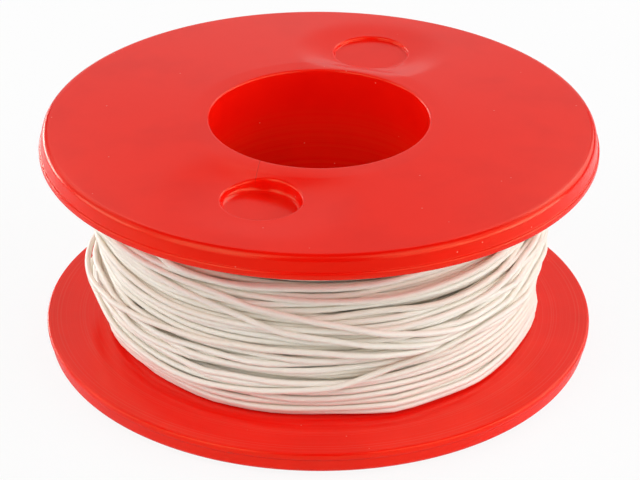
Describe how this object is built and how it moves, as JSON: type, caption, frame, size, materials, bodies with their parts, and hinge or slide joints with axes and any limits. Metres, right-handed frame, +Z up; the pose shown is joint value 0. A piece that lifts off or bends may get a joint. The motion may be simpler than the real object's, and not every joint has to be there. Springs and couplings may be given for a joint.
{
  "type": "wire spool",
  "caption": "Small moulded plastic spool with a plain central bore, wound with fine insulated wire, its outer turn standing off at one side.",
  "frame": {"origin": "centre of the lower hub end, on the surface that the spool stands on", "axes": "+Z up along the spool's axis, towards the other hub end; +X to the right and +Y away from the picture's camera"},
  "size_m": [0.0508, 0.0508, 0.0224],
  "materials": {
    "spool": "red moulded plastic, semi-gloss, with fine turning marks",
    "insulation": "off-white extruded insulation, soft sheen"
  },
  "bodies": {
    "root": {"spool_half_upper": "spool", "spool_half_lower": "spool", "wire_winding": "insulation", "wire_outer_turn": "insulation"}
  },
  "joints": []
}
